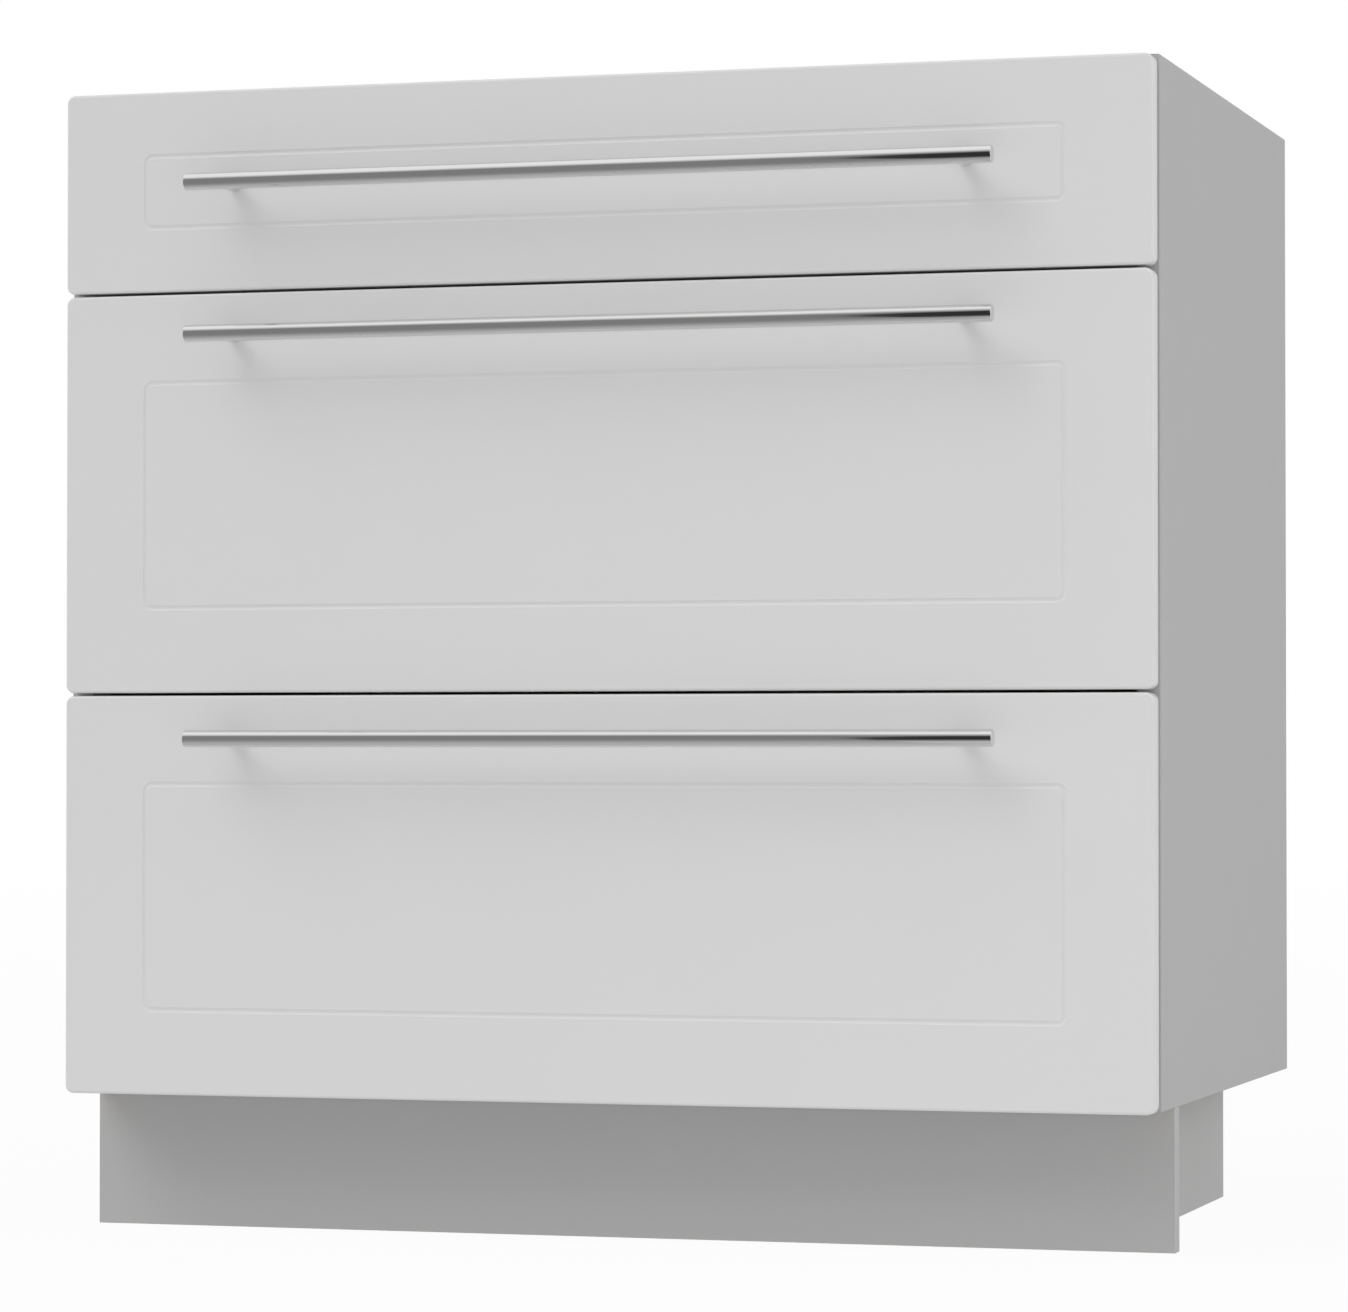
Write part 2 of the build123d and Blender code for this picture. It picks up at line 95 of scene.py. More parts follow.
def solidPiece(name, surfaces, node):
    # Joins closed ring surfaces into one piece that stands for a node and rides on its body.
    corners, faces, count = [], [], 0
    for rings in surfaces:
        flat, quads = ringSurface(rings, offset=count)
        corners.append(flat)
        faces.append(quads)
        count += len(flat)
    mesh = bpy.data.meshes.new(name)
    mesh.from_pydata(np.concatenate(corners).tolist(), [], np.concatenate(faces).tolist())
    work = bmesh.new()
    work.from_mesh(mesh)
    bmesh.ops.remove_doubles(work, verts=work.verts, dist=weldReach)
    bmesh.ops.recalc_face_normals(work, faces=work.faces)
    work.to_mesh(mesh)
    work.free()
    mesh.shade_smooth()
    mesh.set_sharp_from_angle(angle=math.radians(sharpAngle))
    piece = bpy.data.objects.new(name, mesh)
    bpy.context.scene.collection.objects.link(piece)
    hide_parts(node)
    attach(piece, body_of(frame["nodes"][node])[0])
    return piece


def roundedOutline(halfWidth, halfHeight, radius, arcSteps, sideSteps):
    # Anticlockwise round a rectangle: each corner is a quarter circle whose centre is drawn in by
    # the radius, (w - r + r cos a, h - r + r sin a), and each straight is divided evenly.
    parts = []
    for k in range(4):
        signX = (1, -1, -1, 1)[k]
        signZ = (1, 1, -1, -1)[k]
        angle = np.linspace(k, k + 1, arcSteps + 1) * math.pi / 2
        x = signX * (halfWidth - radius) + radius * np.cos(angle)
        z = signZ * (halfHeight - radius) + radius * np.sin(angle)
        parts.append(np.stack([x, z], axis=-1))
    outline = []
    for k in range(4):
        start = parts[k][-1]
        end = parts[(k + 1) % 4][0]
        share = np.linspace(0, 1, sideSteps + 1)[1:-1, None]
        outline += [parts[k], start + (end - start) * share]
    return np.concatenate(outline)


frontBoard = {
    "cornerRadius": 6.0 * mm,       # corners seen from the front
    "edgeRadius": 2.0 * mm,         # face into the edges
    "backArris": 0.3 * mm,
    "lineInsetSide": 62.0 * mm,     # end of the front to the middle of the routed line
    "lineAbove": {"top": 46.3 * mm, "middle": 63.5 * mm, "bottom": 63.5 * mm},
    "lineBelow": {"top": 46.3 * mm, "middle": 61.0 * mm, "bottom": 61.0 * mm},
    "lineCorner": 5.0 * mm,
    "cutterRadius": 3.2 * mm,
    "cutterDepth": 0.6 * mm,
    "sheetPlay": 0.1 * mm,          # round the drawer bottom in its groove
    "guard": 0.2 * mm,              # ring beside each rounding that keeps the flats flat
    "arcSteps": 12,                 # along a corner, seen from the front
    "sideSteps": 24,                # along a straight
    "lineSteps": 15,                # across the routed line
    "edgeSteps": 10,
    "arrisSteps": 5,
}


def frontRings(level):
    # Every ring is a rounded rectangle (half width, half height, corner radius) at a depth y.
    # The routed line is the arc y = depth - (c - sqrt(c^2 - t^2)) across the line, for a cutter of
    # radius c; the edge is the quarter circle inset = r (1 - sin a), y = r (1 - cos a).
    f = frontBoard
    low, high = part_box(f"{level}_drawer_front")
    sheetLow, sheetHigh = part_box(f"{level}_drawer_bottom")
    face = low.y
    back = high.y
    halfW = (high.x - low.x) / 2
    halfH = (high.z - low.z) / 2
    midZ = (high.z + low.z) / 2
    rings = []

    def ring(w, h, radius, y, z=midZ):
        outline = roundedOutline(w, h, radius, f["arcSteps"], f["sideSteps"])
        depth = np.full((len(outline), 1), y)
        rings.append(np.hstack([outline[:, :1], depth, outline[:, 1:] + z]))

    def insetRing(inset, y):
        ring(halfW - inset, halfH - inset, f["cornerRadius"] - inset, y)

    # the field inside the routed line, from a segment down its middle
    above = f["lineAbove"][level]
    below = f["lineBelow"][level]
    lineW = halfW - f["lineInsetSide"]
    lineH = halfH - (above + below) / 2
    lineZ = midZ + (below - above) / 2
    c = f["cutterRadius"]
    reach = math.sqrt(c ** 2 - (c - f["cutterDepth"]) ** 2)
    ring(lineW - lineH, 0, 0, face, lineZ)
    inner = -reach - f["guard"]
    ring(lineW + inner, lineH + inner, f["lineCorner"] + inner, face, lineZ)
    for t in np.linspace(-reach, reach, f["lineSteps"]):
        y = face + f["cutterDepth"] - (c - math.sqrt(c ** 2 - t ** 2))
        ring(lineW + t, lineH + t, f["lineCorner"] + t, y, lineZ)
    outer = reach + f["guard"]
    ring(lineW + outer, lineH + outer, f["lineCorner"] + outer, face, lineZ)

    # the border, the rounded edge and the side
    r = f["edgeRadius"]
    insetRing(r + f["guard"], face)
    for a in np.linspace(0, math.pi / 2, f["edgeSteps"]):
        insetRing(r * (1 - math.sin(a)), face + r * (1 - math.cos(a)))
    insetRing(0, face + r + f["guard"])
    r = f["backArris"]
    insetRing(0, back - r - f["guard"])
    for a in np.linspace(0, math.pi / 2, f["arrisSteps"]):
        insetRing(r * (1 - math.cos(a)), back - r * (1 - math.sin(a)))
    insetRing(r + f["guard"], back)

    # the back, with the groove that holds the drawer's bottom sheet
    grooveW = sheetHigh.x + f["sheetPlay"]
    grooveH = (sheetHigh.z - sheetLow.z) / 2 + f["sheetPlay"]
    grooveZ = (sheetHigh.z + sheetLow.z) / 2
    floorY = sheetLow.y - f["sheetPlay"]
    ring(grooveW, grooveH, 0, back, grooveZ)
    ring(grooveW, grooveH, 0, floorY, grooveZ)
    ring(grooveW - grooveH, 0, 0, floorY, grooveZ)
    return np.array(rings)


fronts = []
for level in levels:
    node = f"{level}_drawer_front"
    fronts.append(solidPiece(f"{level}Front", [frontRings(level)], node))
print("fronts:", len(fronts[0].data.polygons), "faces each")


handle = {
    "endRadius": 0.8 * mm,          # arris of the bar's ends
    "endSteps": 7,
    "guard": 0.1 * mm,
    "barAround": 96,
    "barSteps": 16,                 # rings along the bar
    "postAround": 64,
    "saddlePlay": 0.05 * mm,
    "postArris": 0.15 * mm,
    "tapRadius": 2.15 * mm,         # hole for the screw, from the foot
    "tapDepth": 9.15 * mm,
    "saddleSteps": 9,
}


def barRings(level):
    # A profile turned about X: (x, radius) runs from one pole over a quarter circle of the end
    # radius, along the bar and back to the other pole; y = r cos a, z = r sin a about the axis.
    low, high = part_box(f"{level}_handle_bar")
    radius = min(high.y - low.y, high.z - low.z) / 2
    y = (high.y + low.y) / 2
    z = (high.z + low.z) / 2
    e = handle["endRadius"]
    guard = handle["guard"]
    turn = np.linspace(0, math.pi / 2, handle["endSteps"])
    endX = np.concatenate([[0, 0], e * (1 - np.cos(turn)), [e + guard]])
    endR = np.concatenate([[0, radius - e - guard], radius - e * (1 - np.sin(turn)), [radius]])
    along = np.linspace(low.x + endX[-1], high.x - endX[-1], handle["barSteps"] + 1)[1:-1]
    x = np.concatenate([low.x + endX, along, high.x - endX[::-1]])
    r = np.concatenate([endR, np.full(len(along), radius), endR[::-1]])
    a = np.linspace(0, 2 * math.pi, handle["barAround"], endpoint=False)
    x = np.outer(x, np.ones(len(a)))
    return np.stack([x, y + np.outer(r, np.cos(a)), z + np.outer(r, np.sin(a))], axis=-1)


def postRings(level, x):
    # Rings about the post's axis, which runs forward from the front's face. The wall stops on the
    # bar: y = bar axis + sqrt(s^2 - (r sin a)^2), for a saddle of radius s, and the saddle itself
    # is the same formula with r falling to nothing.
    barLow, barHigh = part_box(f"{level}_handle_bar")
    low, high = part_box(f"{level}_handle_posts")
    foot = high.y
    barY = (barHigh.y + barLow.y) / 2
    z = (barHigh.z + barLow.z) / 2
    saddle = (barHigh.z - barLow.z) / 2 + handle["saddlePlay"]
    radius = (high.z - low.z) / 2
    a = np.linspace(0, 2 * math.pi, handle["postAround"], endpoint=False)
    e = handle["postArris"]
    t = handle["tapRadius"]
    d = handle["tapDepth"]
    rows = [(0, foot - d), (t, foot - d), (t, foot),
            (radius - e, foot), (radius, foot - e), (radius, foot - 2 * e)]
    r = np.array([row[0] for row in rows])
    y = np.array([row[1] for row in rows])[:, None] * np.ones(len(a))
    top = radius * np.linspace(1, 0, handle["saddleSteps"])
    topY = barY + np.sqrt(saddle ** 2 - np.outer(top, np.sin(a)) ** 2)
    r = np.concatenate([r, top])[:, None]
    return np.stack([x + r * np.cos(a), np.vstack([y, topY]), z + r * np.sin(a)], axis=-1)


bars = []
posts = []
for level in levels:
    low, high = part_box(f"{level}_handle_posts")
    radius = (high.z - low.z) / 2
    pair = [postRings(level, low.x + radius), postRings(level, high.x - radius)]
    for pieces, name, surfaces, node in ((bars, "HandleBar", [barRings(level)], "handle_bar"),
                                         (posts, "HandlePosts", pair, "handle_posts")):
        pieces.append(solidPiece(level + name, surfaces, f"{level}_{node}"))
print("handles:", len(bars[0].data.polygons), "faces a bar,",
      len(posts[0].data.polygons), "a pair of posts")


def addNode(tree, kind, **settings):
    node = tree.nodes.new(kind)
    for key, value in settings.items():
        setattr(node, key, value)
    return node


def feed(tree, socket, value):
    # a socket takes either another socket or a plain value
    if isinstance(value, bpy.types.NodeSocket):
        tree.links.new(value, socket)
    else:
        socket.default_value = value


def calc(tree, operation, *values):
    node = addNode(tree, "ShaderNodeMath", operation=operation)
    for socket, value in zip(node.inputs, values):
        feed(tree, socket, value)
    return node.outputs[0]


def remap(tree, value, fromLow, fromHigh, toLow, toHigh):
    node = addNode(tree, "ShaderNodeMapRange")
    for key, number in zip(("Value", "From Min", "From Max", "To Min", "To Max"),
                           (value, fromLow, fromHigh, toLow, toHigh)):
        feed(tree, node.inputs[key], number)
    return node.outputs["Result"]


def blendValues(tree, factor, a, b):
    node = addNode(tree, "ShaderNodeMix", data_type="FLOAT")
    for index, value in ((0, factor), (2, a), (3, b)):
        feed(tree, node.inputs[index], value)
    return node.outputs[0]


def blendColours(tree, factor, a, b):
    node = addNode(tree, "ShaderNodeMix", data_type="RGBA")
    for index, value in ((0, factor), (6, a), (7, b)):
        feed(tree, node.inputs[index], value)
    return node.outputs[2]


def shade(tree, colour, amount):
    node = addNode(tree, "ShaderNodeVectorMath", operation="SCALE")
    feed(tree, node.inputs[0], colour)
    feed(tree, node.inputs["Scale"], amount)
    return node.outputs[0]


noiseSpan = (0.3, 0.7)                  # most values of a noise lie between these


def noise(tree, vector, scale, detail=2.0, roughness=0.5):
    node = addNode(tree, "ShaderNodeTexNoise")
    for key, value in (("Vector", vector), ("Scale", scale), ("Detail", detail),
                       ("Roughness", roughness)):
        feed(tree, node.inputs[key], value)
    return node.outputs[0]


def mapped(tree, vector, location=(0, 0, 0), scale=(1, 1, 1)):
    node = addNode(tree, "ShaderNodeMapping")
    for key, value in (("Vector", vector), ("Location", location), ("Scale", scale)):
        feed(tree, node.inputs[key], value)
    return node.outputs["Vector"]


def newGroup(name, inputs, outputs):
    kinds = {"vector": "NodeSocketVector", "colour": "NodeSocketColor", "value": "NodeSocketFloat"}
    tree = bpy.data.node_groups.new(name, "ShaderNodeTree")
    for label, kind in inputs.items():
        tree.interface.new_socket(name=label, in_out="INPUT", socket_type=kinds[kind])
    for label, kind in outputs.items():
        tree.interface.new_socket(name=label, in_out="OUTPUT", socket_type=kinds[kind])
    return tree, addNode(tree, "NodeGroupInput").outputs, addNode(tree, "NodeGroupOutput").inputs


def useGroup(tree, group, **values):
    node = addNode(tree, "ShaderNodeGroup", node_tree=group)
    for key, value in values.items():
        feed(tree, node.inputs[key], value)
    return node.outputs


paint = {
    "mottleScale": 9.0,             # of the noises, in turns a metre
    "smudgeScale": 23.0,
    "fineShare": 0.65,              # of the peel's height
    "coarseShare": 0.35,
    "coarseScale": 0.23,            # of the fine peel's scale
}


def makePaintSkin():
    # Sprayed or pressed finish: faint broad mottling, fine peel, and gloss that wanders a little.
    tree, given, out = newGroup(
        "paintSkin",
        {"Vector": "vector", "Colour": "colour", "Mottle": "value", "Peel": "value",
         "Gloss": "value", "Smudge": "value"},
        {"Colour": "colour", "Roughness": "value", "Height": "value"})
    broad = noise(tree, given["Vector"], paint["mottleScale"], 3.0)
    fine = noise(tree, given["Vector"], given["Peel"], 1.5)
    coarseScale = calc(tree, "MULTIPLY", given["Peel"], paint["coarseScale"])
    coarse = noise(tree, given["Vector"], coarseScale, 1.0)
    spread = calc(tree, "MULTIPLY", calc(tree, "SUBTRACT", broad, 0.5), given["Mottle"])
    feed(tree, out["Colour"], shade(tree, given["Colour"], calc(tree, "ADD", spread, 1.0)))
    marks = noise(tree, given["Vector"], paint["smudgeScale"], 4.0, 0.6)
    drift = calc(tree, "MULTIPLY", calc(tree, "SUBTRACT", marks, 0.5), given["Smudge"])
    feed(tree, out["Roughness"], calc(tree, "ADD", drift, given["Gloss"]))
    feed(tree, out["Height"], calc(tree, "ADD", calc(tree, "MULTIPLY", fine, paint["fineShare"]),
                                   calc(tree, "MULTIPLY", coarse, paint["coarseShare"])))
    return tree


chipboard = {
    "chipScale": 620.0,
    "warpScale": 300.0,
    "dustScale": 2400.0,
    "chipShare": 0.6,               # of the wood's tone
    "warpShare": 0.4,
    "dark": (0.30, 0.17, 0.085, 1),
    "light": (0.70, 0.52, 0.33, 1),
    "dustShade": (0.72, 1.12),
    "chipDepth": 0.7,
}


def makeChipCore():
    # Pressed wood chips: cells of random tone, long in the board's plane, over fine dust.
    tree, given, out = newGroup("chipCore", {"Vector": "vector"},
                                {"Colour": "colour", "Height": "value"})
    chips = addNode(tree, "ShaderNodeTexVoronoi", feature="F1")
    warp = noise(tree, given["Vector"], chipboard["warpScale"], 2.0)
    feed(tree, chips.inputs["Vector"], given["Vector"])
    feed(tree, chips.inputs["Scale"], chipboard["chipScale"])
    tone = addNode(tree, "ShaderNodeSeparateColor")
    feed(tree, tone.inputs[0], chips.outputs["Color"])
    dust = noise(tree, given["Vector"], chipboard["dustScale"], 3.0, 0.7)
    grade = calc(tree, "ADD", calc(tree, "MULTIPLY", tone.outputs[0], chipboard["chipShare"]),
                 calc(tree, "MULTIPLY", warp, chipboard["warpShare"]))
    wood = blendColours(tree, grade, chipboard["dark"], chipboard["light"])
    dusting = remap(tree, dust, *noiseSpan, *chipboard["dustShade"])
    feed(tree, out["Colour"], shade(tree, wood, dusting))
    pits = calc(tree, "MULTIPLY", chips.outputs["Distance"], chipboard["chipDepth"])
    feed(tree, out["Height"], calc(tree, "ADD", pits, dust))
    return tree


seam = {"least": 0.04 * mm, "most": 0.12 * mm, "shade": 0.25}     # where an edge band meets a face


def makeBoardLayers():
    # Where a faced board shows its core: more than a skin from both faces and more than a band from
    # every banded edge. Joint is the hairline between the edge band and the facing.
    tree, given, out = newGroup(
        "boardLayers",
        {"Across": "value", "Half": "value", "Skin": "value", "Edge": "value", "Band": "value"},
        {"Core": "value", "Joint": "value"})
    toFace = calc(tree, "SUBTRACT", given["Half"], calc(tree, "ABSOLUTE", given["Across"]))
    inside = calc(tree, "GREATER_THAN", toFace, given["Skin"])
    behind = calc(tree, "GREATER_THAN", given["Edge"], given["Band"])
    feed(tree, out["Core"], calc(tree, "MULTIPLY", inside, behind))
    gap = calc(tree, "ABSOLUTE", calc(tree, "SUBTRACT", given["Edge"], given["Band"]))
    line = remap(tree, gap, seam["least"], seam["most"], 1.0, 0.0)
    feed(tree, out["Joint"], calc(tree, "MULTIPLY", line, calc(tree, "SUBTRACT", 1.0, inside)))
    return tree


metals = {
    "cloudScale": 60.0,
    "glossShare": 0.5,              # of lines and clouds that the gloss follows
    "satinSteel": {"colour": (0.75, 0.75, 0.745, 1), "gloss": 0.06, "grain": 0.03, "cloud": 0.02,
                   "lines": (14, 2600, 2600), "relief": 0.0015 * mm},
    "platedSteel": {"colour": (0.60, 0.61, 0.62, 1), "gloss": 0.34, "grain": 0.12, "cloud": 0.14,
                    "lines": (1500, 12, 1500), "relief": 0.006 * mm},
    "ballSteel": {"colour": (0.66, 0.66, 0.65, 1), "gloss": 0.14, "grain": 0.05, "cloud": 0.06,
                  "lines": (900, 900, 900), "relief": 0.002 * mm},
    "screwSteel": {"colour": (0.58, 0.58, 0.56, 1), "gloss": 0.30, "grain": 0.12, "cloud": 0.15,
                   "lines": (2200, 2200, 2200), "relief": 0.008 * mm},
    "castZinc": {"colour": (0.50, 0.50, 0.51, 1), "gloss": 0.44, "grain": 0.22, "cloud": 0.12,
                 "lines": (1700, 1700, 1700), "relief": 0.02 * mm},
}


def makeMetalSkin():
    # Drawn or plated metal: fine lines along the stretched vector, and faint clouds in the gloss.
    tree, given, out = newGroup(
        "metalSkin",
        {"Vector": "vector", "Lines": "vector", "Colour": "colour", "Gloss": "value",
         "Grain": "value", "Cloud": "value"},
        {"Colour": "colour", "Roughness": "value", "Height": "value"})
    lines = noise(tree, given["Lines"], 1.0, 3.0, 0.6)
    cloud = noise(tree, given["Vector"], metals["cloudScale"], 3.0, 0.55)
    streak = calc(tree, "MULTIPLY", calc(tree, "SUBTRACT", lines, 0.5), given["Grain"])
    haze = calc(tree, "MULTIPLY", calc(tree, "SUBTRACT", cloud, 0.5), given["Cloud"])
    both = calc(tree, "ADD", streak, haze)
    feed(tree, out["Colour"], shade(tree, given["Colour"], calc(tree, "ADD", both, 1.0)))
    wander = calc(tree, "MULTIPLY", both, metals["glossShare"])
    feed(tree, out["Roughness"], calc(tree, "ADD", given["Gloss"], wander))
    feed(tree, out["Height"], lines)
    return tree


fibre = {
    "matScale": 700.0,
    "patchScale": 14.0,
    "weaveScale": 190.0,
    "dark": (0.22, 0.115, 0.055, 1),
    "light": (0.33, 0.19, 0.10, 1),
    "matShade": (0.8, 1.2),
    "weaveDepth": 0.3,
}


def makeFibreSide():
    # Raw side of hardboard: matted brown fibres, and the weave of the screen it was pressed on.
    tree, given, out = newGroup("fibreSide", {"Vector": "vector"},
                                {"Colour": "colour", "Height": "value"})
    mat = noise(tree, given["Vector"], fibre["matScale"], 5.0, 0.7)
    patches = noise(tree, given["Vector"], fibre["patchScale"], 3.0)
    brown = blendColours(tree, patches, fibre["dark"], fibre["light"])
    matting = remap(tree, mat, *noiseSpan, *fibre["matShade"])
    feed(tree, out["Colour"], shade(tree, brown, matting))
    weave = []
    for direction in ("X", "Z", "Y"):
        wave = addNode(tree, "ShaderNodeTexWave", wave_type="BANDS", bands_direction=direction)
        feed(tree, wave.inputs["Vector"], given["Vector"])
        feed(tree, wave.inputs["Scale"], fibre["weaveScale"])
        weave.append(wave.outputs["Fac"])
    screen = calc(tree, "ADD", calc(tree, "ADD", weave[0], weave[1]), weave[2])
    pressed = calc(tree, "MULTIPLY", screen, fibre["weaveDepth"])
    feed(tree, out["Height"], calc(tree, "ADD", pressed, mat))
    return tree


paintSkin = makePaintSkin()
chipCore = makeChipCore()
boardLayers = makeBoardLayers()
metalSkin = makeMetalSkin()
fibreSide = makeFibreSide()


def newMaterial(name):
    material = bpy.data.materials.new(name)
    material.use_nodes = True
    tree = material.node_tree
    shader = tree.nodes["Principled BSDF"]
    place = addNode(tree, "ShaderNodeTexCoord").outputs["Object"]
    return material, tree, shader.inputs, place


def bump(tree, inputs, height, distance):
    node = addNode(tree, "ShaderNodeBump")
    node.inputs["Strength"].default_value = 1.0
    node.inputs["Distance"].default_value = distance
    feed(tree, node.inputs["Height"], height)
    feed(tree, inputs["Normal"], node.outputs["Normal"])


lacquer = {"colour": (0.63, 0.63, 0.63, 1), "mottle": 0.02, "peel": 420.0, "gloss": 0.42,
           "smudge": 0.08, "relief": 0.012 * mm, "ior": 1.47}


def lacquerFinish():
    material, tree, inputs, place = newMaterial("satinLacquer")
    look = lacquer
    skin = useGroup(tree, paintSkin, Vector=place, Colour=look["colour"], Mottle=look["mottle"],
                    Peel=look["peel"], Gloss=look["gloss"], Smudge=look["smudge"])
    feed(tree, inputs["Base Color"], skin["Colour"])
    feed(tree, inputs["Roughness"], skin["Roughness"])
    inputs["IOR"].default_value = look["ior"]
    bump(tree, inputs, skin["Height"], look["relief"])
    return material


melamine = {
    "carcass": {"colour": (0.38, 0.38, 0.38, 1), "gloss": 0.6, "peel": 900.0},
    # plinth: the carcass's own facing, painted a shade lighter; this is painted light that makes up
    # for the shade its face gets under the overhang
    "plinth": {"colour": (0.40, 0.40, 0.40, 1), "gloss": 0.6, "peel": 900.0},
    "drawer": {"colour": (0.60, 0.60, 0.595, 1), "gloss": 0.5, "peel": 800.0},
    "mottle": 0.015,
    "smudge": 0.07,
    "skin": 0.3 * mm,               # facing on both sides
    "band": 0.8 * mm,               # banding on the edges that show
    "relief": 0.02 * mm,
    "skinRelief": 0.3,              # shares of it
    "coreRelief": 2.0,
    "coreGloss": 0.85,
    "chipAlong": 0.45,              # the chips' scale in the board's plane
}


def boardFinish(node, kind, thin, banded):
    # A faced board. thin is the axis across it, and banded lists its finished edges, such as -y.
    look = melamine[kind]
    material, tree, inputs, place = newMaterial(f"{node}Board")
    low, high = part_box(node)
    centred = mapped(tree, place, location=tuple(-(low + high) / 2))
    axes = addNode(tree, "ShaderNodeSeparateXYZ")
    feed(tree, axes.inputs[0], centred)
    half = (high - low) / 2
    edge = 1.0
    for name in banded:
        axis = "xyz".index(name[1])
        outward = 1.0 if name[0] == "+" else -1.0
        reached = calc(tree, "MULTIPLY", axes.outputs[axis], outward)
        edge = calc(tree, "MINIMUM", edge, calc(tree, "SUBTRACT", half[axis], reached))
    across = "xyz".index(thin)
    layers = useGroup(tree, boardLayers, Across=axes.outputs[across], Half=half[across],
                      Skin=melamine["skin"], Edge=edge, Band=melamine["band"])
    skin = useGroup(tree, paintSkin, Vector=place, Colour=look["colour"], Mottle=melamine["mottle"],
                    Peel=look["peel"], Gloss=look["gloss"], Smudge=melamine["smudge"])
    stretch = [melamine["chipAlong"]] * 3
    stretch[across] = 1.0
    chips = useGroup(tree, chipCore, Vector=mapped(tree, place, scale=tuple(stretch)))
    hairline = calc(tree, "SUBTRACT", 1.0, calc(tree, "MULTIPLY", layers["Joint"], seam["shade"]))
    faced = shade(tree, skin["Colour"], hairline)
    feed(tree, inputs["Base Color"], blendColours(tree, layers["Core"], faced, chips["Colour"]))
    feed(tree, inputs["Roughness"],
         blendValues(tree, layers["Core"], skin["Roughness"], melamine["coreGloss"]))
    relief = blendValues(tree, layers["Core"],
                         calc(tree, "MULTIPLY", skin["Height"], melamine["skinRelief"]),
                         calc(tree, "MULTIPLY", chips["Height"], melamine["coreRelief"]))
    bump(tree, inputs, relief, melamine["relief"])
    return material


hardboard = {
    "colour": (0.66, 0.66, 0.65, 1),
    "film": 0.2 * mm,               # on the finished side
    "mottle": 0.02,
    "smudge": 0.08,
    "gloss": 0.55,
    "rawGloss": 0.8,
    "peel": 1100.0,
    "relief": 0.05 * mm,
    "skinRelief": 0.15,             # share of it
}


def hardboardFinish(node, finishedSide):
    # Thin hardboard: a white film on its inner side, the other side and the edges raw.
    look = hardboard
    material, tree, inputs, place = newMaterial(f"{node}Sheet")
    low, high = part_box(node)
    axis = "xyz".index(finishedSide[1])
    outward = 1.0 if finishedSide[0] == "+" else -1.0
    axes = addNode(tree, "ShaderNodeSeparateXYZ")
    feed(tree, axes.inputs[0], mapped(tree, place, location=tuple(-(low + high) / 2)))
    depth = calc(tree, "SUBTRACT", (high[axis] - low[axis]) / 2,
                 calc(tree, "MULTIPLY", axes.outputs[axis], outward))
    raw = calc(tree, "GREATER_THAN", depth, look["film"])
    skin = useGroup(tree, paintSkin, Vector=place, Colour=look["colour"], Mottle=look["mottle"],
                    Peel=look["peel"], Gloss=look["gloss"], Smudge=look["smudge"])
    fibres = useGroup(tree, fibreSide, Vector=place)
    feed(tree, inputs["Base Color"], blendColours(tree, raw, skin["Colour"], fibres["Colour"]))
    feed(tree, inputs["Roughness"], blendValues(tree, raw, skin["Roughness"], look["rawGloss"]))
    smooth = calc(tree, "MULTIPLY", skin["Height"], look["skinRelief"])
    relief = blendValues(tree, raw, smooth, fibres["Height"])
    bump(tree, inputs, relief, look["relief"])
    return material


def metalFinish(kind):
    look = metals[kind]
    material, tree, inputs, place = newMaterial(kind)
    lines = mapped(tree, place, scale=look["lines"])
    skin = useGroup(tree, metalSkin, Vector=place, Lines=lines, Colour=look["colour"],
                    Gloss=look["gloss"], Grain=look["grain"], Cloud=look["cloud"])
    feed(tree, inputs["Base Color"], skin["Colour"])
    feed(tree, inputs["Roughness"], skin["Roughness"])
    inputs["Metallic"].default_value = 1.0
    bump(tree, inputs, skin["Height"], look["relief"])
    return material


def dress(piece, material):
    piece.data.materials.clear()
    piece.data.materials.append(material)


satinLacquer = lacquerFinish()
for piece in fronts:
    dress(piece, satinLacquer)
satinSteel = metalFinish("satinSteel")
for piece in bars + posts:
    dress(piece, satinSteel)

# node: kind of facing, axis across the board, edges that carry banding
boards = {
    "side_panel_left": ("carcass", "x", ["-y"]),
    "side_panel_right": ("carcass", "x", ["-y"]),
    "bottom_panel": ("carcass", "z", ["-y"]),
    "top_rail_front": ("carcass", "z", ["-y"]),
    "top_rail_rear": ("carcass", "z", []),
    # its facing is the carcass facing painted lighter, as painted light for the shade under the
    # overhang
    "plinth_front_board": ("plinth", "y", ["-x", "+x"]),
    "plinth_side_board_left": ("carcass", "x", ["+y"]),
    "plinth_side_board_right": ("carcass", "x", ["+y"]),
    "plinth_rear_board": ("carcass", "y", []),
}
hardboards = {"back_panel": "-y"}       # node: its finished side
for level in levels:
    for side in sides:
        boards[f"{level}_drawer_side_{side}"] = ("drawer", "x", ["+z", "+y"])
    boards[f"{level}_drawer_back"] = ("drawer", "y", ["+z"])
    hardboards[f"{level}_drawer_bottom"] = "+z"
for node, look in boards.items():
    dress(frame["nodes"][node], boardFinish(node, *look))
for node, finishedSide in hardboards.items():
    dress(frame["nodes"][node], hardboardFinish(node, finishedSide))

metalNodes = {
    "platedSteel": ["runner_cabinet_member_left", "runner_cabinet_member_right",
                    "runner_drawer_member_left", "runner_drawer_member_right",
                    "runner_intermediate_members"],
    "ballSteel": ["runner_outer_ball_cages", "runner_inner_ball_cages"],
    "screwSteel": ["drawer_screws"],
    "castZinc": ["drawer_cam_fittings"],
}
for kind, names in metalNodes.items():
    finish = metalFinish(kind)
    for level in levels:
        for name in names:
            dress(frame["nodes"][f"{level}_{name}"], finish)
dress(frame["nodes"]["runner_screws"], bpy.data.materials["screwSteel"])
dress(frame["nodes"]["carcass_cam_fittings"], bpy.data.materials["castZinc"])
print("finishes:", len(bpy.data.materials), "materials")


